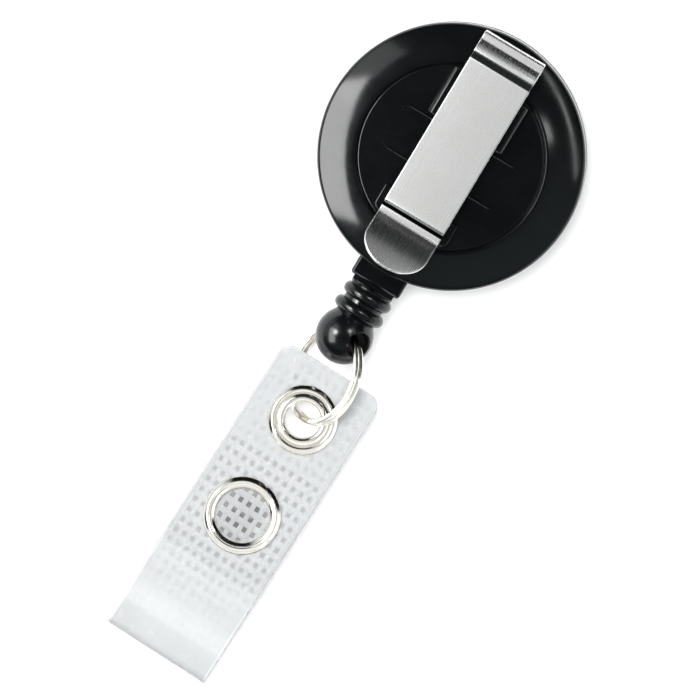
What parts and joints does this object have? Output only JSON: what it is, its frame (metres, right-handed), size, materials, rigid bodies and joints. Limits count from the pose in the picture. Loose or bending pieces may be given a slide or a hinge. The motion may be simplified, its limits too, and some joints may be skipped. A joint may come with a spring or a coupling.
{
  "type": "retractable badge reel",
  "caption": "Round retractable badge reel with a sprung belt clip, ribbed cord end, split ring and a vinyl snap strap that loops through a card's slot.",
  "frame": {"origin": "centre of the case's flat front face, on the spool's axis", "axes": "+Z out of the back of the case, where the belt clip is; the cord pulls towards -Y and the clip's fold is towards +Y"},
  "size_m": [0.032, 0.0862, 0.0146],
  "materials": {
    "black_plastic": "polished moulded ABS",
    "clip_steel": "fine brushed, nickel plated spring steel",
    "bright_nickel": "bright nickel plate",
    "spool_plastic": "natural moulded acetal",
    "spring_steel": "blued strip steel",
    "clear_vinyl": "milky clear vinyl over a woven scrim",
    "cord": "braided nylon"
  },
  "bodies": {
    "case": {"front_shell": "black_plastic", "rear_shell": "black_plastic", "clip_base": "clip_steel"},
    "clip_arm": {"clip_arm": "clip_steel"},
    "spool": {"spool": "spool_plastic", "spool_lid": "spool_plastic", "power_spring": "spring_steel", "cord_winding": "cord"},
    "cord_end": {"cord_lead": "cord", "cord_knot": "cord"},
    "ball": {"end_ball": "black_plastic"},
    "ring": {"split_ring": "bright_nickel"},
    "strap": {"strap_front": "clear_vinyl", "strap_fold": "clear_vinyl", "grommet_face": "bright_nickel", "grommet_back": "bright_nickel", "snap_cap": "bright_nickel", "snap_socket": "bright_nickel"},
    "flap": {"strap_flap": "clear_vinyl", "snap_stud": "bright_nickel", "snap_back": "bright_nickel"}
  },
  "joints": [
    {"name": "cord_pull", "type": "slide", "parent": "case", "child": "cord_end", "axis": [0, -1, 0], "range_m": [0, 0.86], "stiffness_N_per_m": 1.5, "springref_m": -0.5, "deforming": ["cord_lead"]},
    {"name": "spool_spin", "type": "hinge", "parent": "case", "child": "spool", "pos_m": [0, 0, 0.0056], "axis": [0, 0, -1], "range_deg": [0, 4305], "deforming": ["power_spring"]},
    {"name": "clip_flex", "type": "hinge", "parent": "case", "child": "clip_arm", "pos_m": [0, 0.01505, 0.01105], "axis": [-1, 0, 0], "range_deg": [0, 12], "stiffness_Nm_per_rad": 0.06, "springref_deg": -6.88},
    {"name": "ball_swivel", "type": "hinge", "parent": "cord_end", "child": "ball", "pos_m": [0, -0.025, 0.0056], "axis": [0, 1, 0], "continuous": true},
    {"name": "ring_swing", "type": "hinge", "parent": "ball", "child": "ring", "pos_m": [0, -0.025, 0.0056], "axis": [0.6561, 0, 0.7547], "range_deg": [-60, 50]},
    {"name": "strap_swing", "type": "hinge", "parent": "ring", "child": "strap", "pos_m": [0.00094, -0.03613, 0.00478], "axis": [0.6561, 0, 0.7547], "range_deg": [-45, 45]},
    {"name": "flap_fold", "type": "hinge", "parent": "strap", "child": "flap", "pos_m": [0.00002, -0.06912, 0.00125], "axis": [-0.9996, 0.0279, 0], "range_deg": [0, 165], "deforming": ["strap_fold"]}
  ],
  "couplings": [
    {"joint": "spool_spin", "follows": "cord_pull", "rad_per_m": 87.3}
  ]
}
